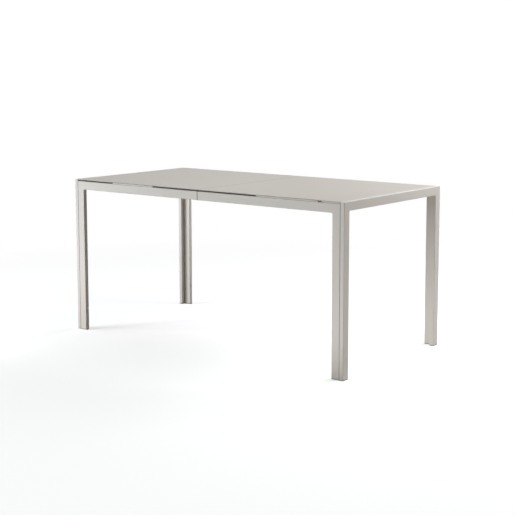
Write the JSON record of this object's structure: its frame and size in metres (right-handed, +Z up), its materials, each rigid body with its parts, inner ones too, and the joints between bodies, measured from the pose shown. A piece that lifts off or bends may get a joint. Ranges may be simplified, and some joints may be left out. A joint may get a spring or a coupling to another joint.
{
  "type": "extendable dining table",
  "caption": "Rectangular metal dining table whose two halves pull apart at the middle for an insert leaf stored underneath.",
  "frame": {"origin": "on the floor under the middle of the closed table", "axes": "+X along the table towards the half that pulls out, +Y across it, +Z up"},
  "size_m": [1.6, 0.8, 0.755],
  "materials": {
    "powder_coat": "satin warm grey powder coat",
    "top_coat": "matt warm grey powder coat",
    "mill_aluminium": "mill finish",
    "black_plastic": "moulded, fine texture",
    "grey_plastic": "moulded, to match the coat",
    "grey_nylon": "machined nylon",
    "zinc_steel": "zinc plated",
    "rubber_pad": "matt"
  },
  "bodies": {
    "left_half": {"left_end_frame": "powder_coat", "front_left_side_frame": "powder_coat", "back_left_side_frame": "powder_coat", "left_top_panel": "top_coat", "left_inner_cross_bar": "mill_aluminium", "left_outer_cross_bar": "mill_aluminium", "left_inner_panel_pad": "rubber_pad", "left_outer_panel_pad": "rubber_pad", "left_seam_bar": "mill_aluminium", "left_end_ledge": "mill_aluminium", "front_left_spacer_strip": "powder_coat", "back_left_spacer_strip": "powder_coat", "left_gear_rack": "grey_nylon", "front_left_rail_guide": "black_plastic", "back_left_rail_guide": "black_plastic", "left_end_leg_feet": "grey_plastic", "left_side_leg_feet": "grey_plastic", "left_frame_screws": "zinc_steel", "left_cross_bar_screws": "zinc_steel", "latch_pivot_studs": "zinc_steel"},
    "right_half": {"right_end_frame": "powder_coat", "front_right_side_frame": "powder_coat", "back_right_side_frame": "powder_coat", "right_top_panel": "top_coat", "right_inner_cross_bar": "mill_aluminium", "right_outer_cross_bar": "mill_aluminium", "right_inner_panel_pad": "rubber_pad", "right_outer_panel_pad": "rubber_pad", "right_seam_bar": "mill_aluminium", "right_end_ledge": "mill_aluminium", "front_right_spacer_strips": "powder_coat", "back_right_spacer_strips": "powder_coat", "right_gear_rack": "grey_nylon", "front_right_rail_guide": "black_plastic", "back_right_rail_guide": "black_plastic", "right_end_leg_feet": "grey_plastic", "right_side_leg_feet": "grey_plastic", "right_frame_screws": "zinc_steel", "right_cross_bar_screws": "zinc_steel", "latch_keeper_studs": "zinc_steel"},
    "carriage": {"front_extension_bar": "mill_aluminium", "back_extension_bar": "mill_aluminium", "front_bar_glides": "black_plastic", "back_bar_glides": "black_plastic", "left_carriage_tube": "mill_aluminium", "right_carriage_tube": "mill_aluminium", "pinion_plate": "mill_aluminium", "pinion_pin": "zinc_steel", "carriage_screws": "zinc_steel", "front_leaf_ledge": "mill_aluminium", "back_leaf_ledge": "mill_aluminium"},
    "pinion_gear": {"pinion": "grey_nylon"},
    "insert_leaf": {"leaf_panel": "top_coat", "left_outer_leaf_batten": "mill_aluminium", "left_inner_leaf_batten": "mill_aluminium", "right_inner_leaf_batten": "mill_aluminium", "right_outer_leaf_batten": "mill_aluminium"},
    "front_latch": {"front_latch_lever": "zinc_steel"},
    "back_latch": {"back_latch_lever": "zinc_steel"}
  },
  "joints": [
    {"name": "extension", "type": "slide", "parent": "left_half", "child": "right_half", "axis": [1, 0, 0], "range_m": [0, 0.5]},
    {"name": "carriage_slide", "type": "slide", "parent": "left_half", "child": "carriage", "axis": [1, 0, 0], "range_m": [0, 0.25]},
    {"name": "pinion_turn", "type": "hinge", "parent": "carriage", "child": "pinion_gear", "pos_m": [0, 0, 0.7408], "axis": [0, 0, 1], "range_deg": [0, 717]},
    {"name": "leaf_slide", "type": "slide", "parent": "carriage", "child": "insert_leaf", "axis": [1, 0, 0], "range_m": [0, 1.2]},
    {"name": "front_latch_turn", "type": "hinge", "parent": "left_half", "child": "front_latch", "pos_m": [-0.021, -0.3, 0.7425], "axis": [0, 0, -1], "range_deg": [0, 90]},
    {"name": "back_latch_turn", "type": "hinge", "parent": "left_half", "child": "back_latch", "pos_m": [-0.021, 0.3, 0.7425], "axis": [0, 0, 1], "range_deg": [0, 90]}
  ],
  "couplings": [
    {"joint": "carriage_slide", "follows": "extension", "ratio": 0.5},
    {"joint": "pinion_turn", "follows": "extension", "rad_per_m": 25}
  ]
}
